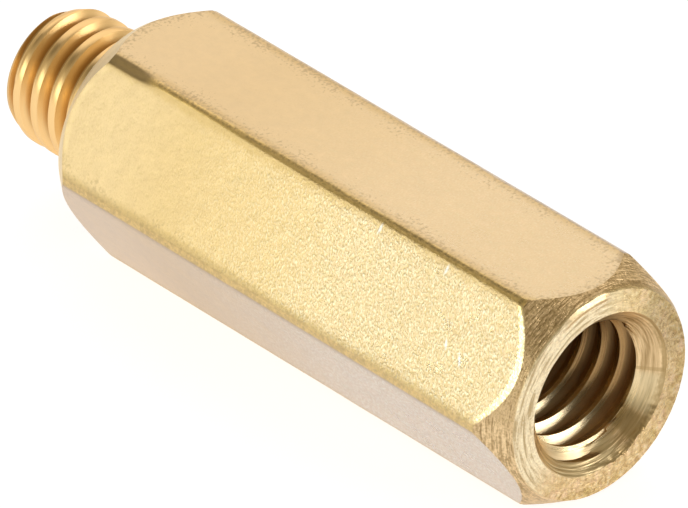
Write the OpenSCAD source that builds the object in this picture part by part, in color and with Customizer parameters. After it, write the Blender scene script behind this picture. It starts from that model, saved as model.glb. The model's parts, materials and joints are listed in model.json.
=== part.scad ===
// Hex standoff, male to female, turned from one length of hexagonal brass bar.
// It lies on one flat along X: the stud points to -X and the tapped end to +X.
// The origin is on the surface it lies on, below the middle of its box.

/* [Body] */
// Width of the hexagon across its flats
across_flats = 4.5; // [4.1:0.1:9]
// Length of the hexagonal body, from the shoulder to the tapped end
body_length = 12.7; // [12:0.1:50]
// Width of the narrow flat broken along each of the six long corners
corner_break = 0.15; // [0.04:0.01:0.4]

/* [End chamfers] */
// Step from the flats in to the rim of each end face
face_step = 0.11; // [0.02:0.01:0.3]
// Angle between the tapped end's chamfer and the axis, in degrees
tapped_chamfer_angle = 30; // [20:1:60]
// Angle between the shoulder's chamfer and the axis, in degrees
shoulder_chamfer_angle = 35; // [20:1:60]

/* [Stud] */
// Outer diameter of the stud, over the crests of its M3 thread
stud_d = 2.8; // [2.4:0.05:3.4]
// Length of the stud, from the shoulder to its tip
stud_length = 2.5; // [1.5:0.1:12]
// Length of the lead-in chamfer on the stud's tip
stud_lead = 0.35; // [0.1:0.05:0.8]
// Depth of the lead-in chamfer, measured inward from the stud's side
stud_lead_depth = 0.15; // [0.1:0.05:0.8]

/* [Tapped hole] */
// Diameter of the drilled hole, over the tips of its M3 thread
tap_drill_d = 2.55; // [2:0.05:2.9]
// Depth of the drilled hole at full diameter, from the tapped end
drill_depth = 9.5; // [5:0.1:10.5]
// Point angle of the drill that leaves the hole's conical bottom, in degrees
drill_point_angle = 118; // [90:1:140]
// Diameter of the countersink where it opens in the tapped end
countersink_d = 3.35; // [3:0.05:3.8]
// Included angle of the countersink, in degrees
countersink_angle = 90; // [50:1:120]

/* [Hidden] */
$fn = 96;

// The hexagon's radius to its sharp corners, and to the flats that break them.
corner_r = across_flats / 2 / cos(30);
broken_corner_r = corner_r - corner_break / 2 / tan(60);

// Each end face is a circle a little inside the flats.
face_r = across_flats / 2 - face_step;
// Length of each chamfer cone, from the end face to where it clears the corners.
tapped_chamfer = (corner_r - face_r) / tan(tapped_chamfer_angle);
shoulder_chamfer = (corner_r - face_r) / tan(shoulder_chamfer_angle);

// The body and stud together are centred on the origin along X.
overall_length = body_length + stud_length;
tapped_end_x = overall_length / 2;
shoulder_x = tapped_end_x - body_length;
axis_z = across_flats / 2;

// The hole's two cones: the drill's point at the bottom, the countersink's at the mouth.
drill_point_length = tap_drill_d / 2 / tan(drill_point_angle / 2);
countersink_depth = (countersink_d - tap_drill_d) / 2 / tan(countersink_angle / 2);

// How far the stud runs into the body, and the hole's cut out of its mouth.
overlap = 0.5;

// Stands a shape drawn along +Z on the turning axis, from x towards +X.
module on_axis(x) {
    translate([x, 0, axis_z])
        rotate([0, 90, 0])
            children();
}

// Turned solid of an outline given as [radius, distance along the axis] points.
module turned(outline) {
    rotate_extrude()
        polygon(outline);
}

// Hexagonal bar with its corners broken, which on_axis() lays on a flat.
module hex_bar(length) {
    intersection() {
        rotate([0, 0, 30])
            cylinder(h = length, r = corner_r, $fn = 6);
        cylinder(h = length, r = broken_corner_r / cos(30), $fn = 6);
    }
}

module body() {
    on_axis(shoulder_x)
        intersection() {
            hex_bar(body_length);
            turned([
                [0, 0],
                [face_r, 0],
                [corner_r, shoulder_chamfer],
                [corner_r, body_length - tapped_chamfer],
                [face_r, body_length],
                [0, body_length]
            ]);
        }
}

// Stud at its thread's outer diameter, with a lead-in chamfer at the tip.
module stud() {
    stud_r = stud_d / 2;
    on_axis(shoulder_x - stud_length)
        turned([
            [0, 0],
            [stud_r - stud_lead_depth, 0],
            [stud_r, stud_lead],
            [stud_r, stud_length + overlap],
            [0, stud_length + overlap]
        ]);
}

// Drilled hole at its thread's tip diameter, with its conical bottom and mouth.
module tapped_hole() {
    hole_r = tap_drill_d / 2;
    mouth_r = countersink_d / 2;
    on_axis(tapped_end_x - drill_depth)
        turned([
            [0, -drill_point_length],
            [hole_r, 0],
            [hole_r, drill_depth - countersink_depth],
            [mouth_r, drill_depth],
            [mouth_r, drill_depth + overlap],
            [0, drill_depth + overlap]
        ]);
}

module standoff() {
    color("#E6C27A")
        difference() {
            union() {
                body();
                stud();
            }
            tapped_hole();
        }
}

standoff();
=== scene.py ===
"""Brass hex standoff lying on a pale floor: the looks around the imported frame.

The whole part is one turned piece, so one watertight mesh stands for its one CAD node. The mesh
keeps the CAD sizes and adds what the solids leave out: both threads, the rolled rims where the
chamfers cut the flats, the burr and the torn edge at the tapped end, and the waviness of drawn
bar. It is built in millimetres about the turning axis as a stack of bands, each a grid of rows
along the section and columns round the axis, and goes into the row frame in metres at the end.

Angles round the axis are counted from +Y up over the top. An arc is given by its middle and its
half width in degrees.
"""

import json
import math

import bmesh
import bpy
import numpy as np
from mathutils import Matrix, Vector, noise


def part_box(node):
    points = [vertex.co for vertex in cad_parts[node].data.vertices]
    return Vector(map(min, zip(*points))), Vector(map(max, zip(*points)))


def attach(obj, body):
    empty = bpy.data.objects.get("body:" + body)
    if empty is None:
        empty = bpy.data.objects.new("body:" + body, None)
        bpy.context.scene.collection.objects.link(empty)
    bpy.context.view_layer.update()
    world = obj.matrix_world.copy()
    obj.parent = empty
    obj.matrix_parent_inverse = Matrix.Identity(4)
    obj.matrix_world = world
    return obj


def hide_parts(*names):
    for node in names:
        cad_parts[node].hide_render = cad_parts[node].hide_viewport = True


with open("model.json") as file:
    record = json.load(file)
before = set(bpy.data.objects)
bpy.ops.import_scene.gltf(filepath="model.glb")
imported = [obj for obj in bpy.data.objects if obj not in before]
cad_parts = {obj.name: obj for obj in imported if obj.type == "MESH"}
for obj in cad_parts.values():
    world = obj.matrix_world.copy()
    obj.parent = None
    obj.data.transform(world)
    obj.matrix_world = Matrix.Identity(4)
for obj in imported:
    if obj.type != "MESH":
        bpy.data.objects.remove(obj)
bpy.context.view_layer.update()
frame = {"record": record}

MM = 0.001
FULL_TURN = 2 * math.pi
SECTOR = math.radians(60)

# ---------- sizes from the frame, in mm
low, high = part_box("standoff")
mounts = {mount["name"]: mount for mount in frame["record"]["mounts"]}

tapped_end_x = high.x / MM
stud_tip_x = low.x / MM
across_flats = (high.z - low.z) / MM
axis_z = across_flats / 2
flat_r = across_flats / 2
broken_corner_r = (high.y - low.y) / MM / 2
shoulder_x = mounts["shoulder_face"]["pos_m"][0] / MM
stud_r = mounts["stud"]["dims"]["r_mm"]
bore_r = mounts["tapped_hole"]["dims"]["r_mm"]
bore_middle_x = mounts["tapped_hole"]["pos_m"][0] / MM
bore_bottom_x = bore_middle_x - mounts["tapped_hole"]["dims"]["length_mm"] / 2

# ---------- sizes that the frame doesn't name, in mm
# How far the edge of each end face lies inside the flats.
FACE_STEP = 0.11
NEAR_CHAMFER_SLOPE = math.tan(math.radians(30))
FAR_CHAMFER_SLOPE = math.tan(math.radians(35))
MOUTH_R = 3.35 / 2
COUNTERSINK_SLOPE = math.tan(math.radians(90 / 2))
DRILL_POINT_SLOPE = math.tan(math.radians(118 / 2))
STUD_LEAD = 0.35
STUD_LEAD_DEPTH = 0.15
THREAD_PITCH = 0.5

face_r = flat_r - FACE_STEP
countersink_x = tapped_end_x - (MOUTH_R - bore_r) / COUNTERSINK_SLOPE

# Angles of two flats and two long corners.
TOP_FLAT = 90
FRONT_FLAT = 150
UPPER_CORNER = 120
LOWER_CORNER = 180

# The rim that the chamfering tool rolls over on each flat. It is plainest on one arc of the front
# flat, and elsewhere it has only a share of that drop.
RIM_WIDTH = 0.14
RIM_DROP = 0.018
RIM_ARC = (146, 37)
RIM_ELSEWHERE = 0.12
FAR_RIM_DROP = 0.003

# The broken long corners. All are uneven, and the upper front one is also broken deeper or less
# deep at places along the bar. Close to the ends they stay even.
CORNER_ROUNDING = 0.018
UPPER_CORNER_X = [-4.6, -3.6, -3.3, -2.0, -1.0, 0.2]
UPPER_CORNER_WEAR = [0.026, 0.026, -0.018, -0.018, -0.009, -0.003]
COARSE_CORNER_WEAR = 0.006
FINE_CORNER_WEAR = 0.003
EVEN_NEAR_SHOULDER = 0.60
EVEN_NEAR_TAPPED_END = 0.75
# Distance from a flat's sharp corner within which its break is seen.
BREAK_SEEN_TO = 0.10

# The burr at the end face's outer edge: how far it stands out of the face and reaches past the
# edge, both unevenly, and how far it falls behind its crest. Its foot, crest and back begin at
# shares of the way from the countersink to the edge.
BURR_ARC = (101, 19)
BURR_HEIGHT = 0.045
BURR_HEIGHT_WAVE = 0.006
BURR_REACH = 0.05
BURR_REACH_WAVE = 0.030
BURR_FALL = 0.048
BURR_FOOT = 0.70
BURR_CREST = 0.80
BURR_BACK = 0.84

# The countersink's edge: how far it strays all round, how much further in the tear, and how far
# the tear lifts the end face beside it, up to a share of the face's width.
TORN_ARC = (302, 46)
COARSE_STRAY = 0.004
FINE_STRAY = 0.002
COARSE_TEAR = 0.05
FINE_TEAR = 0.045
TORN_LIFT = 0.04
TORN_LIFT_TO = 0.16
# Depth inside the hole at which the edge's straying has died out.
STRAY_LENGTH = 0.12

# How uneven the end face's outer edge, the end face, the near chamfer and the sides are.
FACE_EDGE_WAVE = 0.006
FACE_WAVE = 0.005
CHAMFER_WAVE = 0.006
SIDE_WAVE = 0.0015

# Both threads have flanks at 30 degrees to a plane across the axis.
FLANK_SLOPE = math.tan(math.radians(30))
# The tapped thread: its outer radius, and the share of a pitch that its tip takes up.
TAPPED_ROOT_R = 1.5
TIP_SHARE = 0.20
# The stud's thread: its inner radius, and the share of a pitch that its crest takes up.
STUD_ROOT_R = 1.19
CREST_SHARE = 0.38
# At angle 0, how far past the tapped end the -X edge of a tip lies, and past the shoulder that of
# a crest, whole pitches apart.
TAPPED_PHASE = 0.06
STUD_PHASE = 0.09
# Share of a pitch over which a thread's edge is rounded.
TAPPED_EDGE = 0.012
STUD_EDGE = 6 * TAPPED_EDGE
# Shares of a thread's depth at the top and the foot of its flanks, and of a root's length at the
# two ends of its flat part.
FLANK_DEPTHS = (0.05, 0.95)
ROOT_FLAT = (0.3, 0.7)
# Where the tapped thread begins, and how much deeper it grows for each mm towards the mouth.
THREADED_FROM_X = bore_bottom_x + 1.5
THREAD_GROWTH = 0.5
# At the mouth the thread doesn't cut the countersink on one arc, and on another its last tip is
# worn back, from one distance from the cone and fully from the next.
UNCUT_ARC = (0, 100)
WORN_ARC = (72, 32)
WORN_FROM = 0.12
WORN_FULLY_FROM = 0.04
WORN_BACK = 0.10

# Rows of the mesh. The threads' longest steps are shares of a pitch, and the tapped thread has
# them only near its mouth. Rows of rings and rims are shares of their width.
FINE_THREAD_FROM_X = 6.0
MOUTH_ROW_STEP = 0.085
STUD_ROW_STEP = 0.13
FACE_ROWS = [0, 0.04, 0.1, 0.2, 0.35, 0.5, 0.62, 0.70, 0.75, 0.80, 0.84, 0.92, 1.0]
RIM_ROWS = [0, 0.15, 0.35, 0.6, 1.0]
SHOULDER_ROWS = [0, 0.05, 0.3, 0.65, 0.93, 1.0]
NEAR_CHAMFER_ROWS = 12
FAR_CHAMFER_ROWS = 8
SIDE_ROWS = 48
# Columns from the middle of a broken corner outwards, in half widths of the break.
CORNER_COLUMNS = [0.0, 0.4, 0.7, 0.9, 1.1, 1.35, 1.8, 2.6]
HALF_FLAT_COLUMNS = 10
# Columns where an edge is rough: how many degrees apart, and the least gap as a share of that.
CLOSE_COLUMNS_DEG = 1.3
CLOSEST_SHARE = 0.45


# ---------- helpers for shapes
# How far one seed lies from the next in the noise.
SEED_STEP = (17.3, 5.9, 11.1)
# Share of an arc's half width up to which the arc counts in full.
ARC_CORE = 0.6


def wave(points, scale, seed):
    """Smooth noise from -1 to 1 at points in mm, with features about scale mm across."""
    shift = Vector([step * seed for step in SEED_STEP])
    return np.array([noise.noise(Vector(p) / scale + shift) for p in points])


def grid_wave(x, r, phi, scale, seed):
    """wave() over a grid of points given in cylinder coordinates."""
    x, r, phi = np.broadcast_arrays(x, r, phi)
    points = np.stack([x, r * np.cos(phi), r * np.sin(phi)], -1).reshape(-1, 3)
    return wave(points, scale, seed).reshape(x.shape)


def smooth_step(low_edge, high_edge, value):
    t = np.clip((value - low_edge) / (high_edge - low_edge), 0, 1)
    return t * t * (3 - 2 * t)


def near_angle(phi, centre_deg, half_width_deg):
    """1 at the middle of an arc, falling smoothly to 0 at its ends."""
    away = np.abs((phi - math.radians(centre_deg) + math.pi) % FULL_TURN - math.pi)
    return 1 - smooth_step(ARC_CORE, 1.0, away / math.radians(half_width_deg))


def sector_angles():
    """Angles of the columns from one long corner to the next, close together at the corners."""
    corner_r = flat_r / math.cos(SECTOR / 2)
    half_break = math.atan((corner_r - broken_corner_r) * math.tan(SECTOR) / broken_corner_r)
    near_corner = half_break * np.array(CORNER_COLUMNS)
    along_flat = np.linspace(near_corner[-1], SECTOR / 2, HALF_FLAT_COLUMNS + 1)[1:]
    half = np.concatenate([near_corner, along_flat])
    return np.concatenate([half, SECTOR - half[-2:0:-1]])


def column_angles():
    """Angles of all the columns, with more of them where an edge is rough."""
    sector = sector_angles()
    angles = np.concatenate([sector + k * SECTOR for k in range(6)])
    for centre_deg, half_width_deg in (BURR_ARC, TORN_ARC):
        start = math.radians(centre_deg - half_width_deg)
        stop = math.radians(centre_deg + half_width_deg)
        count = math.ceil((stop - start) / math.radians(CLOSE_COLUMNS_DEG))
        close = np.linspace(start, stop, count)
        gap = np.abs(close[:, None] - angles[None, :]).min(1)
        apart = gap > math.radians(CLOSE_COLUMNS_DEG) * CLOSEST_SHARE
        angles = np.concatenate([angles, close[apart]])
    return np.append(np.sort(angles), FULL_TURN)


PHI = column_angles()


def as_rows(values):
    """Values as a column of rows, to be combined with PHI."""
    return np.array(values)[:, None]


def corner_wear(x):
    """How much deeper than its mean each long corner is broken, at a place along the bar."""
    x = np.clip(x, shoulder_x + EVEN_NEAR_SHOULDER, tapped_end_x - EVEN_NEAR_TAPPED_END)
    upper = near_angle(PHI, UPPER_CORNER, 30)
    coarse = grid_wave(x, 0, 0, 1.1, 21) * COARSE_CORNER_WEAR
    fine = grid_wave(x, 0, 0, 0.3, 22) * FINE_CORNER_WEAR
    return np.interp(x, UPPER_CORNER_X, UPPER_CORNER_WEAR) * upper + (coarse + fine)


def bar_radius(x):
    """From the axis to the drawn bar's surface, its long corners broken and a little rounded."""
    off_flat = (PHI - math.radians(TOP_FLAT)) % SECTOR
    off_flat = np.minimum(off_flat, SECTOR - off_flat)
    flat = flat_r / np.cos(off_flat)
    broken = (broken_corner_r - corner_wear(x)) / np.cos(SECTOR / 2 - off_flat)
    blend = np.clip(0.5 + (flat - broken) / (2 * CORNER_ROUNDING), 0, 1)
    return flat * (1 - blend) + broken * blend - CORNER_ROUNDING * blend * (1 - blend)


def profile(share, knots, depths):
    """Depth at a share of the pitch, straight between knots that run from 0 to 1."""
    return np.interp(share - np.floor(share), knots, depths)


def thread_profile(top_share, depth, edge):
    """Knots over one pitch and the depth at each: a flat top, a flank, a rounded root, a flank."""
    flank = depth * FLANK_SLOPE / THREAD_PITCH
    root = 1 - top_share - 2 * flank
    knots = [
        0,
        edge,
        top_share - edge,
        top_share,
        top_share + flank,
        top_share + flank + root * ROOT_FLAT[0],
        top_share + flank + root * ROOT_FLAT[1],
        1 - flank,
        1,
    ]
    top, foot = FLANK_DEPTHS
    depths = [top, 0, 0, top, foot, 1, 1, foot, top]
    return np.array(knots), depth * np.array(depths)


TAPPED_KNOTS, TAPPED_DEPTHS = thread_profile(TIP_SHARE, TAPPED_ROOT_R - bore_r, TAPPED_EDGE)
STUD_KNOTS, STUD_DEPTHS = thread_profile(CREST_SHARE, stud_r - STUD_ROOT_R, STUD_EDGE)


def tapped_radius(x):
    """Radius of the tapped thread's surface, which fades out towards the bottom of the hole."""
    share = (x - tapped_end_x - TAPPED_PHASE) / THREAD_PITCH - PHI / FULL_TURN
    depth = profile(share, TAPPED_KNOTS, TAPPED_DEPTHS)
    return bore_r + np.minimum(depth, np.maximum(x - THREADED_FROM_X, 0) * THREAD_GROWTH)


def cone_radius(x):
    """Radius of the countersink's cone."""
    return MOUTH_R - (tapped_end_x - x) * COUNTERSINK_SLOPE


def stud_thread_radius(x):
    share = (x - shoulder_x - STUD_PHASE) / THREAD_PITCH - PHI / FULL_TURN
    return stud_r - profile(share, STUD_KNOTS, STUD_DEPTHS)


def lead_radius(x):
    """Radius of the lead-in cone on the stud's tip."""
    return stud_r - STUD_LEAD_DEPTH + (x - stud_tip_x) * STUD_LEAD_DEPTH / STUD_LEAD


def refined(knots, most):
    """Knots of one pitch with more between them, so that no step is over most."""
    parts = []
    for a, b in zip(knots[:-1], knots[1:]):
        steps = max(1, math.ceil((b - a) / most - 1e-9))
        parts.append(np.linspace(a, b, steps, endpoint=False))
    return np.concatenate(parts)


def helical_rows(knots, phase_x, from_x, to_x):
    """x of each row and column of a helical band, held between two planes."""
    first = math.floor((from_x - phase_x) / THREAD_PITCH) - 1
    last = math.ceil((to_x - phase_x) / THREAD_PITCH)
    turns = np.arange(first, last + 1)
    rows = ((turns[:, None] + knots[None, :]) * THREAD_PITCH + phase_x).ravel()
    rows = rows[:, None] + THREAD_PITCH * PHI[None, :] / FULL_TURN
    return np.clip(rows, from_x, to_x)


def cut_by(x, thread_r, cone_r, keep_larger):
    """Radius of a thread cut by a cone. Points next to a crossing move along the cone onto it."""
    sign = 1 if keep_larger else -1
    gap = sign * (cone_r(x) - thread_r)
    crossing = (gap[:-1] > 0) != (gap[1:] > 0)
    share = gap[:-1] / np.where(gap[:-1] == gap[1:], 1, gap[:-1] - gap[1:])
    at = x[:-1] + share * (x[1:] - x[:-1])
    x = x.copy()
    upper = crossing & (gap[:-1] > 0)
    lower = crossing & (gap[1:] > 0)
    x[:-1][upper] = at[upper]
    x[1:][lower] = at[lower]
    return x, np.where(gap > 0, cone_r(x), thread_r)


# ---------- the bands of the section
def bore_bottom():
    r = as_rows([0.0, 0.4, 1.0]) * bore_r * np.ones_like(PHI)
    return bore_bottom_x - (bore_r - r) / DRILL_POINT_SLOPE, r


def bore_wall():
    x = as_rows([bore_bottom_x, THREADED_FROM_X]) * np.ones_like(PHI)
    return x, np.full_like(x, bore_r)


def deep_thread():
    knots = TAPPED_KNOTS[:-1]
    x = helical_rows(knots, tapped_end_x + TAPPED_PHASE, THREADED_FROM_X, FINE_THREAD_FROM_X)
    return x, tapped_radius(x)


def mouth_thread():
    """The last turns of the tapped thread, running out through the countersink."""
    knots = refined(TAPPED_KNOTS, MOUTH_ROW_STEP)
    x = helical_rows(knots, tapped_end_x + TAPPED_PHASE, FINE_THREAD_FROM_X, tapped_end_x)
    x, r = cut_by(x, tapped_radius(x), cone_radius, True)
    uncut = near_angle(PHI, *UNCUT_ARC) * (x > countersink_x)
    r = r + (np.maximum(cone_radius(x), bore_r) - r) * uncut
    near_cone = smooth_step(countersink_x - WORN_FROM, countersink_x - WORN_FULLY_FROM, x)
    r = np.maximum(r, bore_r + WORN_BACK * (near_angle(PHI, *WORN_ARC) * near_cone))
    near_mouth = smooth_step(tapped_end_x - STRAY_LENGTH, tapped_end_x, x)
    return x, r + mouth_offset(x - tapped_end_x) * near_mouth


def mouth_offset(inside=0.0):
    """How far the countersink's edge strays, most where the tool tore it at the lower right."""
    torn = near_angle(PHI, *TORN_ARC)
    coarse = (COARSE_STRAY + COARSE_TEAR * torn) * grid_wave(inside, MOUTH_R, PHI, 0.25, 3)
    fine = (FINE_STRAY + FINE_TEAR * torn ** 2) * grid_wave(inside, MOUTH_R, PHI, 0.09, 4)
    return coarse + fine


def burr_lift(share, uneven):
    """How far the burr stands out of the end face: up to its crest, then down to the edge."""
    rise = smooth_step(BURR_FOOT, BURR_CREST, share) * (BURR_HEIGHT + BURR_HEIGHT_WAVE * uneven)
    fall = np.clip((share - BURR_BACK) / (1 - BURR_BACK), 0, 1) * BURR_FALL
    return rise - fall


def torn_lift(share):
    """How far the tear pushes the end face out along its inner edge."""
    torn = (1 - smooth_step(0, TORN_LIFT_TO, share)) * near_angle(PHI, *TORN_ARC)
    return TORN_LIFT * torn * np.abs(grid_wave(0, MOUTH_R, PHI, 0.1, 7))


def end_face():
    """Ring between the countersink and the chamfer, with the burr and the tear at its edges."""
    share = as_rows(FACE_ROWS)
    inner = MOUTH_R + mouth_offset()
    burr = near_angle(PHI, *BURR_ARC)
    rough = grid_wave(0, face_r, PHI, 0.12, 6)
    uneven = grid_wave(0, face_r, PHI, 0.22, 9)
    outer = face_r + FACE_EDGE_WAVE * rough + burr * (BURR_REACH + BURR_REACH_WAVE * uneven)
    r = inner + (outer - inner) * share
    x = tapped_end_x + burr * burr_lift(share, uneven) + torn_lift(share)
    off_edges = smooth_step(0, 0.1, share * (1 - share) * 4)
    x = x + FACE_WAVE * grid_wave(x, r, PHI, 0.15, 8) * off_edges
    x[0] = tapped_end_x
    return x, r


def chamfer_reach(radius, slope):
    """Length along the axis from an end face to where its chamfer reaches a radius."""
    return (radius - face_r) / slope


def rim_drop():
    """How far the near end's rolled rim lies under each flat."""
    return RIM_DROP * (RIM_ELSEWHERE + (1 - RIM_ELSEWHERE) * near_angle(PHI, *RIM_ARC))


def near_chamfer():
    x_outer, r_outer = end_face()
    share = np.linspace(0, 1, NEAR_CHAMFER_ROWS)[:, None]
    arc_r = bar_radius(tapped_end_x) - rim_drop()
    r = r_outer[-1] + (arc_r - r_outer[-1]) * share
    arc_x = tapped_end_x - chamfer_reach(arc_r, NEAR_CHAMFER_SLOPE)
    x = x_outer[-1] + (arc_x - x_outer[-1]) * share
    off_edges = smooth_step(0, 0.15, share) * smooth_step(1, 0.85, share)
    return x, r + CHAMFER_WAVE * grid_wave(x, r, PHI, 0.25, 11) * off_edges


def rim_rows():
    """Distances from a chamfer's edge, and the share of the rim's drop there."""
    share = as_rows(RIM_ROWS)
    return share * RIM_WIDTH, (1 - share) ** 2


def side():
    """The bar's flats and broken corners between the chamfers, with their rims."""
    distance, drop_share = rim_rows()
    near_r = bar_radius(tapped_end_x)
    far_r = bar_radius(shoulder_x)
    near_x = tapped_end_x - chamfer_reach(near_r - rim_drop(), NEAR_CHAMFER_SLOPE) - distance
    far_x = shoulder_x + chamfer_reach(far_r - FAR_RIM_DROP, FAR_CHAMFER_SLOPE) + distance
    share = np.linspace(0, 1, SIDE_ROWS)[1:-1, None]
    middle_x = near_x[-1] + (far_x[-1] - near_x[-1]) * share
    middle_r = bar_radius(middle_x)
    off_rims = smooth_step(0, 0.1, share * (1 - share))
    wavy = grid_wave(middle_x, middle_r, PHI, 1.6, 31) * off_rims
    middle_r = middle_r - SIDE_WAVE * (1 + wavy) * off_rims
    near_rim = near_r - drop_share * rim_drop()
    far_rim = far_r - drop_share * FAR_RIM_DROP
    x = np.concatenate([near_x, middle_x, far_x[::-1]])
    r = np.concatenate([near_rim, middle_r, far_rim[::-1]])
    return x, r


def far_chamfer():
    share = np.linspace(0, 1, FAR_CHAMFER_ROWS)[:, None]
    arc_r = bar_radius(shoulder_x) - FAR_RIM_DROP
    r = arc_r + (face_r - arc_r) * share
    return shoulder_x + chamfer_reach(r, FAR_CHAMFER_SLOPE), r


def shoulder():
    inner = stud_thread_radius(shoulder_x)
    r = face_r + (inner - face_r) * as_rows(SHOULDER_ROWS)
    return np.full_like(r, shoulder_x), r


def stud_thread():
    knots = refined(STUD_KNOTS, STUD_ROW_STEP)
    x = helical_rows(knots, shoulder_x + STUD_PHASE, stud_tip_x, shoulder_x)[::-1]
    x, r = cut_by(x, stud_thread_radius(x), lead_radius, False)
    return np.vstack([x, np.full_like(PHI, stud_tip_x)]), np.vstack([r, tip_radius()])


def tip_radius():
    """Outline of the stud's tip: the lead-in cone, cut where a thread's root reaches it."""
    return np.minimum(stud_thread_radius(stud_tip_x), lead_radius(stud_tip_x))


def stud_tip():
    r = as_rows([1.0, 0.93, 0.5, 0.0]) * tip_radius()
    return np.full_like(r, stud_tip_x), r


# Each band: its function, its finish and its share of the flat map's height.
BANDS = [
    (bore_bottom, "bore", 0.01),
    (bore_wall, "bore", 0.01),
    (deep_thread, "bore", 0.06),
    (mouth_thread, "bore", 0.11),
    (end_face, "turned", 0.04),
    (near_chamfer, "turned", 0.04),
    (side, "drawn", 0.47),
    (far_chamfer, "turned", 0.03),
    (shoulder, "turned", 0.03),
    (stud_thread, "stud", 0.12),
    (stud_tip, "turned", 0.03),
]


# ---------- helpers for materials
class Value:
    """A number in a material's nodes. Arithmetic on it adds the nodes that work it out."""

    def __init__(self, graph, socket):
        self.graph = graph
        self.socket = socket

    def __add__(self, other):
        return self.graph.math("ADD", self, other)

    def __radd__(self, other):
        return self.graph.math("ADD", other, self)

    def __sub__(self, other):
        return self.graph.math("SUBTRACT", self, other)

    def __rsub__(self, other):
        return self.graph.math("SUBTRACT", other, self)

    def __mul__(self, other):
        return self.graph.math("MULTIPLY", self, other)

    def __truediv__(self, other):
        return self.graph.math("DIVIDE", self, other)


class Graph:
    """A node tree that is written as calls. Each call adds a node and returns what it gives."""

    def __init__(self, tree):
        self.tree = tree
        tree.nodes.clear()

    def node(self, kind, inputs, **settings):
        made = self.tree.nodes.new("ShaderNode" + kind)
        for name, setting in settings.items():
            setattr(made, name, setting)
        for name, value in inputs.items():
            self.feed(made.inputs[name], value)
        return made

    def feed(self, socket, value):
        if isinstance(value, Value):
            self.tree.links.new(value.socket, socket)
        elif isinstance(value, bpy.types.NodeSocket):
            self.tree.links.new(value, socket)
        elif isinstance(value, tuple) and socket.type == "RGBA":
            socket.default_value = (*value, 1)
        else:
            socket.default_value = value

    def math(self, operation, *terms):
        made = self.node("Math", dict(enumerate(terms)), operation=operation)
        return Value(self, made.outputs[0])

    def ramp(self, value, low, high):
        """0 below low and 1 above high, with a smooth rise between; low may be the larger."""
        inputs = {"Value": value, "From Min": low, "From Max": high}
        made = self.node("MapRange", inputs, interpolation_type="SMOOTHSTEP")
        return Value(self, made.outputs[0])

    def vector(self, x, y, z):
        return self.node("CombineXYZ", {0: x, 1: y, 2: z}).outputs[0]

    def noise(self, vector, slow=0.0, detail=2.0):
        """Noise from about -1 to 1 that changes over one unit of the vector and of slow."""
        inputs = {"Vector": vector, "W": slow, "Scale": 1.0, "Detail": detail}
        made = self.node("TexNoise", inputs, noise_dimensions="4D")
        return (Value(self, made.outputs[0]) - 0.5) * 3

    def mix(self, first, second, share):
        """The first colour where share is 0 and the second where it is 1."""
        made = self.node("Mix", {0: share, 6: first, 7: second}, data_type="RGBA")
        return made.outputs[2]

    def painted(self, colour, *layers):
        """A colour with layers mixed over it in turn, each a colour and its share."""
        for layer_colour, share in layers:
            colour = self.mix(colour, layer_colour, share)
        return colour

    def dot(self, vector, direction):
        made = self.node("VectorMath", {0: vector, 1: direction}, operation="DOT_PRODUCT")
        return Value(self, made.outputs["Value"])

    def scaled(self, colour, amount):
        made = self.node("VectorMath", {0: colour, "Scale": amount}, operation="SCALE")
        return made.outputs[0]


# Half the arc within which a mark on a flat may show, and how fast a thread's streaks change.
FLAT_HALF_ARC = 40
STREAK_CHANGE = 1.5


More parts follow.
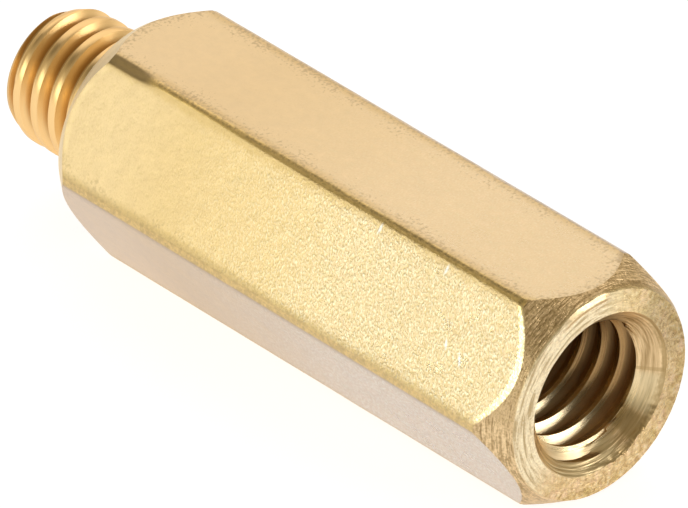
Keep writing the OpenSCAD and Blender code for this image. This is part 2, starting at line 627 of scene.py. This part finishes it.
class Place:
    """Where a point of the surface is: in mm and radians about the turning axis."""

    def __init__(self, graph):
        point = graph.node("TexCoord", {}).outputs["Object"]
        split = graph.node("SeparateXYZ", {0: point})
        x, y, z = (Value(graph, output) for output in split.outputs)
        self.graph = graph
        self.x = x / MM
        self.y = y / MM
        self.z = z / MM - axis_z
        self.radius = graph.math("SQRT", self.y * self.y + self.z * self.z)
        self.phi = graph.math("ARCTAN2", self.z, self.y)

    def arc(self, centre_deg, half_width_deg):
        """1 at the middle of an arc, falling smoothly to 0 at its ends."""
        half_width = math.radians(half_width_deg)
        nearness = self.graph.math("COSINE", self.phi - math.radians(centre_deg))
        return self.graph.ramp(nearness, math.cos(half_width), math.cos(half_width * ARC_CORE))

    def across(self, normal_deg):
        """Distance in mm across the flat with that normal, from its middle, growing with phi."""
        angle = math.radians(normal_deg)
        return self.z * math.cos(angle) - self.y * math.sin(angle)

    def mark(self, normal_deg, x, across, half_width, half_length, lean):
        """1 in a narrow mark across the flat with that normal, at a place along the bar."""
        off_across = self.across(normal_deg) - across
        off_x = self.x - x + off_across * lean
        long_part = off_across / half_length
        wide_part = off_x / half_width
        away = self.graph.math("SQRT", long_part * long_part + wide_part * wide_part)
        return self.graph.ramp(away, 1.0, 0.2) * self.arc(normal_deg, FLAT_HALF_ARC)

    def corner_distance(self):
        """Distance in mm across a flat from the nearest of the bar's sharp corners."""
        off_corner = self.graph.math("PINGPONG", self.phi, SECTOR / 2)
        off_middle = self.graph.math("SINE", SECTOR / 2 - off_corner)
        return flat_r * math.tan(SECTOR / 2) - self.radius * off_middle

    def chamfer_distance(self):
        """Distance in mm along the axis from the nearer end's chamfer."""
        out = self.radius - face_r
        near = tapped_end_x - self.x - out / NEAR_CHAMFER_SLOPE
        far = self.x - shoulder_x - out / FAR_CHAMFER_SLOPE
        return self.graph.math("MINIMUM", near, far)

    def cells(self, size_x, size_across, seed=0.0, lean=0.0):
        """Vector whose units are cells of a size in mm, which may lean along the axis."""
        along = (self.x + self.z * lean) / size_x + seed
        return self.graph.vector(along, self.y / size_across, self.z / size_across)

    def round_axis(self, fine, arc_deg, seed, detail=2.0):
        """Noise drawn out round the axis: it changes over one unit of fine or over an arc."""
        reach = 1 / math.radians(arc_deg)
        along = self.graph.math("COSINE", self.phi) * reach
        up = self.graph.math("SINE", self.phi) * reach
        return self.graph.noise(self.graph.vector(along, up, fine), seed, detail)

    def thread_streaks(self, fine_mm, seed, detail=2.0):
        """Noise drawn out along a thread's helix and fine across it."""
        turn = self.x * (FULL_TURN / THREAD_PITCH) - self.phi
        reach = THREAD_PITCH / FULL_TURN / fine_mm
        along = self.graph.math("COSINE", turn) * reach
        up = self.graph.math("SINE", turn) * reach
        vector = self.graph.vector(along, up, self.radius / fine_mm)
        return self.graph.noise(vector, self.x * STREAK_CHANGE + seed, detail)


# ---------- materials
PALE_BRASS = (0.82, 0.61, 0.33)
DEEP_BRASS = (0.74, 0.52, 0.22)
# Burnished metal's own colour, also used for painted glinting specks, a painted highlight in the
# hole and painted light at the far end.
BRIGHT_BRASS = (0.96, 0.82, 0.55)
OLIVE_BRASS = (0.58, 0.42, 0.13)
STAINED_BRASS = (0.40, 0.27, 0.11)
# The colour of painted shade in the threads' roots and deep in the hole, and of a painted dark
# reflection on the tapped crests.
PAINTED_DARK_BRASS = (0.38, 0.21, 0.07)
GREEN_BRASS = (0.72, 0.62, 0.38)
THREAD_BRASS = (0.68, 0.46, 0.22)
STUD_BRASS = (0.95, 0.63, 0.28)
PAINTED_SPARKLE_BRASS = (1.0, 0.94, 0.70)
TURNED_LIGHT = (0.92, 0.67, 0.37)
TURNED_DARK = (0.40, 0.26, 0.11)
PEACH_BRASS = (0.93, 0.64, 0.42)
LIME_BRASS = (0.84, 0.72, 0.36)
PIT_BRASS = (0.50, 0.30, 0.11)
BREAK_BRASS = (0.98, 0.69, 0.25)
WHITE = (1.0, 1.0, 1.0)
# Share of its full reflection that cut metal keeps where it is seen almost along the surface.
GRAZING_TINT = (0.88, 0.78, 0.62)
# The same for the dull drawn flats, which turn pale and pinkish there.
DRAWN_GRAZING_TINT = (0.70, 0.74, 1.0)
FILM_ROUGHNESS = 0.35

# Where the looks change along the bar: the x in mm where each change begins and where it is whole.
GRAIN_GROWS = (-3.0, 4.5)
TARNISH_GROWS = (-3.8, -1.6)
TARNISH_FADES = (3.0, 0.6)
FAR_STAIN_GROWS = (-3.3, -3.6)
NEAR_STAIN_GROWS = (6.0, 6.4)
# Over this span the top flat's painted light grows.
TOP_FLAT_LIGHTENS = (6.0, -5.0)
FAR_END = (1.0, -1.0)
END_FACE_X = (tapped_end_x - 0.05, tapped_end_x - 0.02)
BURR_X = (tapped_end_x - 0.04, tapped_end_x - 0.02)
DEEP_IN_HOLE = (tapped_end_x - 0.8, tapped_end_x - 2.0)
# The same for the height above the axis, and for x less the radius, within the countersink.
TOP_FLAT_Z = (flat_r - 0.05, flat_r - 0.02)
CONE_SECTION = (tapped_end_x - 1.9, tapped_end_x - 1.7)

# Two dark lines: how far inside the end face's outer edge one lies, and how far outside the other.
LINE_INSIDE_EDGE = 0.11
SEAM_OUTSIDE_EDGE = 0.035

# Arcs on the drawn surfaces.
RIM_SHINE_ARC = (146, 36)
LOWER_EDGE_ARC = (LOWER_CORNER, 14)
FAR_STAIN_ARC = (UPPER_CORNER, 3.2)
NEAR_STAIN_ARC = (64, 5)
# Arcs on the end face and the chamfers.
BURNISHED_ARC = (150, 95)
DIRTY_ARC = (162, 16)
SEAM_ARC = (74, 52)
LIME_ARC = (68, 34)
WIDE_SHADE_ARC = (8, 52)
NARROW_SHADE_ARC = (30, 30)
# Arcs in the hole.
LOWER_GREEN_ARC = (336, 18)
LEFT_GREEN_ARC = (250, 50)
CONE_STAIN_ARC = (310, 11)
CONE_SCRATCH_ARC = (354, 1.8)
MOUTH_LINE_ARC = (340, 80)
# On the tapped thread: a painted dark reflection, a painted highlight and painted shade deep in the
# hole.
DARK_REFLECTION_ARC = (8, 62)
THREAD_HIGHLIGHT_ARC = (268, 44)
THREAD_SHADE_ARC = (60, 70)

# White marks on the front flat: place along the bar, across it, half width and half length in mm,
# and how far each leans along the bar.
FRONT_MARKS = [
    (3.09, -1.10, 0.050, 0.16, 0.1),
    (4.92, -1.07, 0.050, 0.15, 0.1),
    (6.01, 0.27, 0.050, 0.18, -0.5),
    (5.58, 0.15, 0.045, 0.14, -0.4),
]


class DrawnZones:
    """Where a point is on the drawn surfaces: distances in mm, and shares from 0 to 1."""

    def __init__(self, graph, place):
        self.edge = place.corner_distance()
        self.end_edge = place.chamfer_distance()
        self.sharp = graph.ramp(place.x, *GRAIN_GROWS)
        self.on_top = graph.ramp(place.z, *TOP_FLAT_Z)
        self.off_top = 1 - self.on_top * 0.75


def drawn_finish(graph, place):
    """Flats and broken corners as drawn: a fine grain across the bar, dull towards the corners."""
    zones = DrawnZones(graph, place)
    grain = graph.noise(place.cells(0.032, 0.050, lean=0.4), 0.0, 2.5)
    speckle = graph.noise(place.cells(0.07, 0.07, 9.0), 0.0, 2.5)
    blotch = graph.noise(place.cells(0.20, 0.16, 14.0), 0.0, 2.5)
    mottle = graph.noise(place.cells(0.5, 0.35, 4.0), 0.0, 3.0)
    dull = graph.ramp(zones.edge + mottle * 0.06 + speckle * 0.05, 0.30, 0.08)

    colour = drawn_metal(graph, place, zones, blotch, dull)
    colour = broken_corners(graph, place, zones, colour)
    colour = drawn_stains(graph, place, zones, colour, speckle, mottle)
    colour = grain_marks(graph, place, zones, colour, grain, dull)
    # Painted shade: the flats darker close to the lower long corner.
    painted_lower_shade = graph.ramp(zones.edge, 0.30, 0.06) * place.arc(*LOWER_EDGE_ARC)
    # Painted light: the top flat a little darker towards the tapped end and lighter towards the
    # shoulder.
    painted_top_light = zones.on_top * (graph.ramp(place.x, *TOP_FLAT_LIGHTENS) * 0.10 - 0.05)
    tone = 1 + mottle * 0.04 + speckle * 0.02 + blotch * 0.04 + painted_top_light - painted_lower_shade * 0.15
    colour = graph.scaled(colour, tone)

    at_rim = graph.ramp(zones.end_edge, RIM_WIDTH * 1.3, RIM_WIDTH * 0.5)
    rim = at_rim * place.arc(*RIM_SHINE_ARC)
    roughness = 0.42 - zones.sharp * 0.14 - rim * 0.08 + mottle * 0.02 + dull * 0.04
    grain_height = grain * (0.0011 + zones.sharp * 0.0048) * (1 - rim) * zones.off_top
    return colour, roughness, grain_height + mottle * 0.004


def drawn_metal(graph, place, zones, blotch, dull):
    """The drawn metal's own colour: deeper where it is dull, with peach and lime patches."""
    tarnished = graph.ramp(place.x, *TARNISH_GROWS) * graph.ramp(place.x, *TARNISH_FADES)
    tarnish = tarnished * zones.off_top
    coloured = zones.sharp * (1 - zones.on_top * 0.5)
    return graph.painted(
        PALE_BRASS,
        (DEEP_BRASS, dull * 0.8 + (1 - zones.sharp) * 0.15 + tarnish * 0.50),
        (PEACH_BRASS, graph.ramp(blotch, 0.1, 0.9) * 0.35 * coloured),
        (LIME_BRASS, graph.ramp(blotch, -0.1, -0.9) * 0.45 * coloured),
    )


def broken_corners(graph, place, zones, colour):
    """Warmer metal on the broken corners, scuffed here and there."""
    break_line = graph.ramp(zones.edge, BREAK_SEEN_TO, BREAK_SEEN_TO * 0.6)
    scuffs = graph.noise(place.cells(0.12, 0.06, 33.0), 0.0, 3.0)
    scuffed = graph.ramp(scuffs, 0.0, 0.5) * break_line
    return graph.painted(colour, (BREAK_BRASS, break_line * 0.85), (OLIVE_BRASS, scuffed * 0.35))


def drawn_stains(graph, place, zones, colour, speckle, mottle):
    """Dark specks near every edge, and a stain on a corner at each end."""
    any_edge = graph.math("MINIMUM", zones.edge, zones.end_edge + 0.06)
    specks = graph.ramp(speckle * 1.3 - any_edge * 1.9 + mottle * 0.5, -0.60, 0.35)
    speck_share = 0.08 + zones.on_top * 0.52 + place.arc(*LOWER_EDGE_ARC) * 0.3
    far_stain = graph.ramp(place.x, *FAR_STAIN_GROWS) * place.arc(*FAR_STAIN_ARC)
    at_chamfer = graph.ramp(zones.end_edge, 0.16, 0.04) * place.arc(*NEAR_STAIN_ARC)
    near_stain = at_chamfer * graph.ramp(place.x, *NEAR_STAIN_GROWS)
    return graph.painted(
        colour,
        (STAINED_BRASS, specks * speck_share),
        (STAINED_BRASS, far_stain * 0.75 + near_stain * 0.6),
    )


def grain_marks(graph, place, zones, colour, grain, dull):
    """The grain's painted sparkle (bright specks standing in for glinting facets), its olive
    hollows, and the white marks on the front flat.
    """
    # Painted sparkle: bright specks on the grain's high parts stand in for facets that catch the
    # light.
    painted_sparkle = graph.ramp(grain, -0.10, 0.6) * zones.sharp * zones.off_top * (1 - dull)
    hollows = graph.ramp(grain, -0.05, -0.5) * (0.5 + zones.sharp * 0.5) * zones.off_top
    marks = [(WHITE, place.mark(FRONT_FLAT, *mark) * 0.75) for mark in FRONT_MARKS]
    return graph.painted(colour, (PAINTED_SPARKLE_BRASS, painted_sparkle * 0.9), (OLIVE_BRASS, hollows * 0.45), *marks)


class TurnedZones:
    """Where a point is on the end faces and chamfers, as shares from 0 to 1."""

    def __init__(self, graph, place):
        self.on_face = graph.ramp(place.x, *END_FACE_X)
        self.far_end = graph.ramp(place.x, *FAR_END)
        self.burnished = place.arc(*BURNISHED_ARC) * self.on_face
        self.rough_side = (1 - self.burnished) * self.on_face
        self.burr = place.arc(*BURR_ARC) * graph.ramp(place.x, *BURR_X)
        self.on_burr = self.burr * graph.ramp(place.radius, face_r - 0.07, face_r - 0.04)


def turned_finish(graph, place):
    """End faces and chamfers: tool lines round the axis, with grain and pits between them."""
    zones = TurnedZones(graph, place)
    section = place.radius - place.x
    lines = tool_lines(place, zones, section)
    bands = place.round_axis(section / 0.10, 14, 5.0)
    grain = graph.noise(place.cells(0.05, 0.05), 0.0, 2.5) * (1 - zones.far_end * 0.6)
    pits = graph.noise(place.cells(0.10, 0.10, 21.0), 0.0, 3.5) + grain * 0.4
    pitted = graph.ramp(pits, 0.0, 0.42) * (0.15 + zones.rough_side * 0.85) * zones.on_face
    tone = graph.ramp(lines * 0.8 + bands * 0.5 + grain * 0.5, -0.6, 0.6)

    colour = turned_metal(graph, zones, tone)
    colour = tool_dirt(graph, place, zones, colour, section, lines, bands, grain)
    colour = graph.mix(colour, PIT_BRASS, pitted * 0.8)
    colour = rough_ring(graph, place, zones, colour, pits)
    colour = outer_edge(graph, place, zones, colour)
    shade = (place.arc(*WIDE_SHADE_ARC) + place.arc(*NARROW_SHADE_ARC)) * zones.on_face * 0.15
    colour = graph.scaled(colour, 1 + grain * (0.08 + zones.on_face * 0.20) - shade)

    roughness = 0.38 - tone * 0.06
    tool_marks = (lines * 0.012 + bands * 0.006 + grain * 0.007) * (1 - zones.burnished * 0.4)
    height = (tool_marks - pitted * 0.016) * (1 - zones.on_burr * 0.95)
    return colour, roughness, height


def tool_lines(place, zones, section):
    """Lines that the tool left: short strokes at the tapped end and long rings at the other."""
    strokes = place.round_axis(section / 0.040, 6, 3.0, 3.0)
    far_rings = place.round_axis(section / 0.060, 50, 8.0, 2.5)
    return strokes * (1 - zones.far_end) + far_rings * zones.far_end * 0.8


def turned_metal(graph, zones, tone):
    """The turned metal's own colour: burnished on the end face's left, deeper on its right."""
    return graph.painted(
        TURNED_DARK,
        (TURNED_LIGHT, tone * (1 - zones.on_face * 0.4) + zones.on_face * 0.4),
        (BRIGHT_BRASS, zones.burnished * (0.55 + tone * 0.45)),
        (DEEP_BRASS, zones.rough_side * (0.8 - tone * 0.2)),
    )


def tool_dirt(graph, place, zones, colour, section, lines, bands, grain):
    """Long dark scores on the burnished side, and dirt in the deepest tool lines."""
    long_lines = place.round_axis(section / 0.075, 22, 17.0, 3.0)
    scored = graph.ramp(long_lines + grain * 0.4, 0.0, 0.38) * zones.burnished
    dirty = place.arc(*DIRTY_ARC) * (1 - zones.on_face) * 0.5
    dirt = graph.ramp(lines * 0.6 + grain * 0.7 + bands * 0.4 + dirty, 0.50, 0.90)
    return graph.painted(colour, (STAINED_BRASS, scored * 0.75), (STAINED_BRASS, dirt * 0.75))


def rough_ring(graph, place, zones, colour, pits):
    """The end face's rough side: painted glinting specks between its pits, patches, and an inner
    half made paler by painted light.
    """
    # Painted glinting specks: bright brass between the pits.
    painted_glints = graph.ramp(pits, -0.10, -0.55) * zones.rough_side
    blotch = graph.noise(place.cells(0.22, 0.22, 27.0), 0.0, 2.5)
    # Painted light: the ring's inner half is made paler.
    painted_inner_sheen = graph.ramp(place.radius, face_r - 0.12, MOUTH_R + 0.16) * zones.rough_side
    return graph.painted(
        colour,
        (BRIGHT_BRASS, painted_glints * 0.55),
        (PEACH_BRASS, graph.ramp(blotch, 0.0, 0.5) * zones.rough_side * 0.55),
        (OLIVE_BRASS, graph.ramp(blotch, -0.1, -0.6) * zones.rough_side * 0.50),
        (TURNED_LIGHT, painted_inner_sheen * 0.30),
    )


def outer_edge(graph, place, zones, colour):
    """The end face's outer edge: a pale burr, a dark line behind it and a dark seam outside; also
    painted light that makes the far end's turned surfaces paler.
    """
    from_line = graph.math("ABSOLUTE", place.radius - face_r + LINE_INSIDE_EDGE)
    behind_burr = zones.burr * graph.ramp(from_line, 0.050, 0.02)
    from_seam = graph.math("ABSOLUTE", place.radius - face_r - SEAM_OUTSIDE_EDGE)
    seam = graph.ramp(from_seam, 0.045, 0.015) * place.arc(*SEAM_ARC) * (1 - zones.far_end)
    return graph.painted(
        colour,
        (PIT_BRASS, behind_burr * 0.8),
        (PALE_BRASS, zones.on_burr * 0.7),
        (STAINED_BRASS, seam * (1 - zones.on_burr) * 0.7),
        (LIME_BRASS, place.arc(*LIME_ARC) * zones.on_face * (1 - zones.burr) * 0.2),
        # Painted light: the far chamfer, shoulder and stud tip made paler, standing in for
        # reflected light.
        (BRIGHT_BRASS, zones.far_end * 0.7),
    )


def bore_finish(graph, place):
    """Both cut surfaces in the hole: smooth thread flanks, and the countersink's tool rings."""
    on_cone = graph.ramp(place.x - place.radius, *CONE_SECTION)
    rings = place.round_axis(place.radius / 0.028, 24, 8.0, 3.0)
    coarse_rings = place.round_axis(place.radius / 0.09, 40, 12.0)
    streaks = place.thread_streaks(0.02, 2.0)
    deep = graph.ramp(place.radius, 1.33, 1.46)
    cone = cone_colour(graph, place, rings, coarse_rings)
    thread = tapped_colour(graph, place, streaks, deep)
    colour = graph.mix(thread, cone, on_cone)
    roughness = 0.26 + streaks * 0.03 + deep * 0.10
    height = streaks * 0.0008 * (1 - on_cone) + (rings * 0.005 + coarse_rings * 0.006) * on_cone
    return colour, roughness, height


def cone_colour(graph, place, rings, coarse_rings):
    """The countersink: tool rings, greener on two arcs, stained, with a dark line at its edge."""
    tone = graph.ramp(rings * 0.8 + coarse_rings * 0.5, -0.6, 0.6)
    green = place.arc(*LOWER_GREEN_ARC) * 0.45 + place.arc(*LEFT_GREEN_ARC) * 0.45
    stain = (place.arc(*CONE_STAIN_ARC) + place.arc(*CONE_SCRATCH_ARC) * 0.7) * 0.7
    specks = graph.noise(place.cells(0.09, 0.09, 41.0), 0.0, 3.0)
    near_edge = graph.ramp(place.radius + specks * 0.05, MOUTH_R - 0.11, MOUTH_R - 0.02)
    return graph.painted(
        TURNED_DARK,
        (TURNED_LIGHT, tone),
        (GREEN_BRASS, green),
        (STAINED_BRASS, stain),
        (STAINED_BRASS, near_edge * place.arc(*MOUTH_LINE_ARC) * 0.75),
    )


def tapped_colour(graph, place, streaks, deep):
    """The tapped thread: a painted highlight on one arc, a painted dark reflection on another, and
    painted shade in its roots and deep in the hole.
    """
    painted_dark_reflection = place.arc(*DARK_REFLECTION_ARC) * 0.75
    far_in = graph.ramp(place.x, *DEEP_IN_HOLE)
    colour = graph.painted(
        THREAD_BRASS,
        # Painted highlight: the crests on this arc are mixed towards bright brass.
        (BRIGHT_BRASS, place.arc(*THREAD_HIGHLIGHT_ARC) * 0.6),
        # Painted shade in the thread's roots, and a painted dark reflection on the crests of one
        # arc.
        (PAINTED_DARK_BRASS, graph.math("MAXIMUM", deep * 0.15, painted_dark_reflection)),
        # Painted shade deep in the hole, on one arc.
        (PAINTED_DARK_BRASS, far_in * place.arc(*THREAD_SHADE_ARC) * 0.6),
    )
    return graph.scaled(colour, 1 + streaks * 0.06)


def stud_finish(graph, place):
    """The stud's thread, smoother and redder than the drawn flats, with painted shade in its roots.
    """
    streaks = place.thread_streaks(0.025, 6.0)
    deep = graph.ramp(place.radius, 1.34, 1.22)
    # Painted shade: the thread's roots are mixed towards dark brass.
    colour = graph.mix(STUD_BRASS, PAINTED_DARK_BRASS, deep * 0.6)
    colour = graph.scaled(colour, 1 + streaks * 0.05)
    roughness = 0.31 + streaks * 0.02
    return colour, roughness, streaks * 0.0006


# Each finish: its function, its thin clear film's weight and its tint at a slant.
FINISHES = {
    "drawn": (drawn_finish, 0.70, DRAWN_GRAZING_TINT),
    "turned": (turned_finish, 0.35, GRAZING_TINT),
    "bore": (bore_finish, 0.15, GRAZING_TINT),
    "stud": (stud_finish, 0.20, GRAZING_TINT),
}


def brass(name):
    """Brass with one of the finishes. A finish gives colour, roughness and height in mm."""
    material = bpy.data.materials.new(name + "_brass")
    material.use_nodes = True
    graph = Graph(material.node_tree)
    finish, film_weight, grazing_tint = FINISHES[name]
    colour, roughness, height = finish(graph, Place(graph))
    relief = graph.node("Bump", {"Height": height, "Distance": MM, "Strength": 1.0})
    shader = graph.node("BsdfPrincipled", {
        "Base Color": colour,
        "Metallic": 1.0,
        "Roughness": roughness,
        "Normal": relief.outputs[0],
        "Specular Tint": grazing_tint,
        "Coat Weight": film_weight,
        "Coat Roughness": FILM_ROUGHNESS,
    })
    graph.node("OutputMaterial", {"Surface": shader.outputs[0]})
    return material


# ---------- the piece
def in_scene(name, data):
    """A new object with this data, linked into the scene."""
    made = bpy.data.objects.new(name, data)
    bpy.context.scene.collection.objects.link(made)
    return made


# The flat map: the gap between bands, and the free strip beside them at each side.
MAP_GAP = 0.004
MAP_MARGIN = 0.002
# Points closer than this are one point, and edges shorter than this are taken out, in mm.
MERGE_DISTANCE = 0.0003
SHORTEST_EDGE = 0.0001
SHARP_ANGLE = math.radians(28)


def flat_points(x, r, from_v, to_v):
    """A band's place on the flat map: u is the angle, v the length along the section."""
    steps = np.hypot(np.diff(x, axis=0), np.diff(r, axis=0))
    length = np.vstack([np.zeros_like(PHI), np.cumsum(steps, axis=0)])
    v = from_v + (to_v - from_v) * length / length[-1]
    u = np.broadcast_to(MAP_MARGIN + (1 - 2 * MAP_MARGIN) * PHI / FULL_TURN, v.shape)
    return np.stack([u, v], -1)


def band_faces(start, rows):
    """The four-sided faces of a band whose first point has the number start."""
    columns = len(PHI)
    for row in range(rows - 1):
        for column in range(columns - 1):
            a = start + row * columns + column
            yield a, a + 1, a + 1 + columns, a + columns


def all_bands():
    """Points, faces, finish numbers and flat map of all the bands, one after another."""
    slots = list(FINISHES)
    vertices, faces, face_slots, map_points = [], [], [], []
    from_v = 0.0
    for band, finish, share in BANDS:
        x, r = band()
        points = np.stack([x, r * np.cos(PHI), r * np.sin(PHI) + axis_z], -1)
        made = list(band_faces(len(vertices), x.shape[0]))
        faces.extend(made)
        face_slots.extend([slots.index(finish)] * len(made))
        vertices.extend(map(tuple, points.reshape(-1, 3) * MM))
        map_points.extend(map(tuple, flat_points(x, r, from_v, from_v + share).reshape(-1, 2)))
        from_v += share + MAP_GAP
    return vertices, faces, face_slots, map_points


def lay_flat(mesh, map_points):
    """Gives the mesh its flat map, from one place for each point."""
    flat_map = mesh.uv_layers.new(name="OFBake")
    corner_vertices = np.empty(len(mesh.loops), dtype=np.int64)
    mesh.loops.foreach_get("vertex_index", corner_vertices)
    flat_map.uv.foreach_set("vector", np.array(map_points)[corner_vertices].ravel())


def close_shell(mesh):
    """Joins the bands' edges, so that the mesh is watertight, and turns its faces outwards."""
    shell = bmesh.new()
    shell.from_mesh(mesh)
    bmesh.ops.remove_doubles(shell, verts=shell.verts, dist=MERGE_DISTANCE * MM)
    bmesh.ops.dissolve_degenerate(shell, edges=shell.edges, dist=SHORTEST_EDGE * MM)
    bmesh.ops.recalc_face_normals(shell, faces=shell.faces)
    shell.to_mesh(mesh)
    shell.free()


def build_standoff():
    vertices, faces, face_slots, map_points = all_bands()
    mesh = bpy.data.meshes.new("standoff_piece")
    mesh.from_pydata(vertices, [], faces)
    for finish in FINISHES:
        mesh.materials.append(brass(finish))
    lay_flat(mesh, map_points)
    mesh.polygons.foreach_set("material_index", face_slots)
    close_shell(mesh)
    mesh.shade_smooth()
    mesh.set_sharp_from_angle(angle=SHARP_ANGLE)
    return in_scene("standoff_piece", mesh)


# ---------- stage, light and camera
# The floor: half its width in metres, its grey, and how strongly it glows where it is seen.
FLOOR_HALF = 3.0
FLOOR_GREY = 0.46
FLOOR_GLOW = 0.80


def white_floor():
    """A pale floor that glows where the camera or a mirror sees it, and so is white."""
    mesh = bpy.data.meshes.new("floor")
    corners = [(-1, -1), (1, -1), (1, 1), (-1, 1)]
    mesh.from_pydata([(x * FLOOR_HALF, y * FLOOR_HALF, 0) for x, y in corners], [], [(0, 1, 2, 3)])
    material = bpy.data.materials.new("white_floor")
    material.use_nodes = True
    graph = Graph(material.node_tree)
    path = graph.node("LightPath", {})
    seen = graph.math("MAXIMUM", path.outputs["Is Camera Ray"], path.outputs["Is Glossy Ray"])
    seen = graph.math("MAXIMUM", seen, path.outputs["Is Transmission Ray"])
    matt = graph.node("BsdfDiffuse", {"Color": (FLOOR_GREY,) * 3})
    glow = graph.node("Emission", {"Strength": seen * FLOOR_GLOW})
    lit = graph.node("AddShader", {0: matt.outputs[0], 1: glow.outputs[0]})
    under = graph.node("NewGeometry", {}).outputs["Backfacing"]
    clear = graph.node("BsdfTransparent", {})
    shown = graph.node("MixShader", {0: under, 1: lit.outputs[0], 2: clear.outputs[0]})
    graph.node("OutputMaterial", {"Surface": shown.outputs[0]})
    mesh.materials.append(material)
    floor = in_scene("floor", mesh)


def around(azimuth_deg, elevation_deg):
    """Unit vector from the part at an azimuth from -Y towards +X and an elevation."""
    azimuth, elevation = math.radians(azimuth_deg), math.radians(elevation_deg)
    level = math.cos(elevation)
    return Vector((math.sin(azimuth) * level, -math.cos(azimuth) * level, math.sin(elevation)))


# The room's strength at the horizon and higher up, the heights between which it changes, and its
# colour in reflections.
WORLD_HORIZON = 0.50
WORLD_TOP = 0.42
WORLD_CHANGES = (0.05, 0.5)
WORLD_COLOUR = (1.0, 0.91, 0.68)
# Darker parts of the room: azimuth, elevation and the angles where the dark ends and begins.
DARK_PARTS = [(88, 10, 32, 12), (-70, 47, 21, 5)]
DARK_STRENGTH = 0.10


def studio_world():
    """A grey room, paler at the horizon, that the camera sees as white."""
    world = bpy.data.worlds.new("studio")
    bpy.context.scene.world = world
    world.use_nodes = True
    graph = Graph(world.node_tree)
    direction = graph.node("TexCoord", {}).outputs["Generated"]
    up = Value(graph, graph.node("SeparateXYZ", {0: direction}).outputs["Z"])
    strength = WORLD_HORIZON + graph.ramp(up, *WORLD_CHANGES) * (WORLD_TOP - WORLD_HORIZON)
    for azimuth, elevation, outer, inner in DARK_PARTS:
        nearness = graph.dot(direction, tuple(around(azimuth, elevation)))
        edges = math.cos(math.radians(outer)), math.cos(math.radians(inner))
        strength = strength + (DARK_STRENGTH - strength) * graph.ramp(nearness, *edges)
    path = graph.node("LightPath", {})
    tint = graph.mix(WORLD_COLOUR, WHITE, Value(graph, path.outputs["Is Diffuse Ray"]))
    room = graph.node("Background", {"Color": tint, "Strength": strength})
    white = graph.node("Background", {"Color": WHITE, "Strength": 1.0})
    both = graph.node("MixShader", {
        0: path.outputs["Is Camera Ray"], 1: room.outputs[0], 2: white.outputs[0],
    })
    graph.node("OutputWorld", {"Surface": both.outputs[0]})


# Softboxes round the part: name, azimuth, elevation, width and height, all as angles in degrees,
# then radiance and colour.
LAMP_DISTANCE = 0.3
SOFTBOXES = [
    ("key_box", -25, 17, 36, 20, 2.27, (0.91, 1.0, 0.97)),
    ("front_fill", 25, 8, 60, 20, 0.65, WHITE),
    ("back_left_panel", -129, 36, 58, 52, 0.73, (1.0, 0.98, 1.0)),
    ("right_box", 121, 16, 34, 20, 3.8, WHITE),
]


def softbox(name, azimuth, elevation, width, height, radiance, colour):
    """A rectangular lamp that faces the part. Its radiance is what a mirror there would show."""
    data = bpy.data.lights.new(name, "AREA")
    data.shape = "RECTANGLE"
    data.color = colour
    data.size = 2 * LAMP_DISTANCE * math.tan(math.radians(width / 2))
    data.size_y = 2 * LAMP_DISTANCE * math.tan(math.radians(height / 2))
    data.energy = radiance * math.pi * data.size * data.size_y
    lamp = in_scene(name, data)
    back = around(azimuth, elevation)
    lamp.location = Vector((0, 0, axis_z * MM)) + back * LAMP_DISTANCE
    lamp.rotation_mode = "QUATERNION"
    lamp.rotation_quaternion = (-back).to_track_quat("-Z", "Y")
    lamp.visible_camera = False


# The camera: its direction from the part and its roll in degrees, distance and target in metres,
# and lens and sensor in mm.
CAMERA_AZIMUTH = 47.60
CAMERA_ELEVATION = 32.48
CAMERA_ROLL = 0.464
CAMERA_DISTANCE = 0.28122
CAMERA_LENS = 785.58
CAMERA_SENSOR = 36
CAMERA_TARGET = Vector((high.x - 0.007199, 0.000151, 0.001829))


def make_camera():
    data = bpy.data.cameras.new("camera")
    data.lens = CAMERA_LENS
    data.sensor_width = CAMERA_SENSOR
    data.clip_start = 0.01
    data.clip_end = 20
    camera = in_scene("camera", data)
    back = around(CAMERA_AZIMUTH, CAMERA_ELEVATION)
    right = around(CAMERA_AZIMUTH + 90, 0)
    turn = Matrix((right, back.cross(right), back)).transposed()
    roll = Matrix.Rotation(math.radians(CAMERA_ROLL), 3, "Z")
    camera.matrix_world = Matrix.LocRotScale(
        CAMERA_TARGET + back * CAMERA_DISTANCE, (turn @ roll).to_quaternion(), None
    )
    bpy.context.scene.camera = camera


make_camera()
white_floor()
studio_world()
for box in SOFTBOXES:
    softbox(*box)

bpy.context.scene.view_settings.view_transform = "Standard"

standoff = build_standoff()
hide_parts("standoff")
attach(standoff, "root")
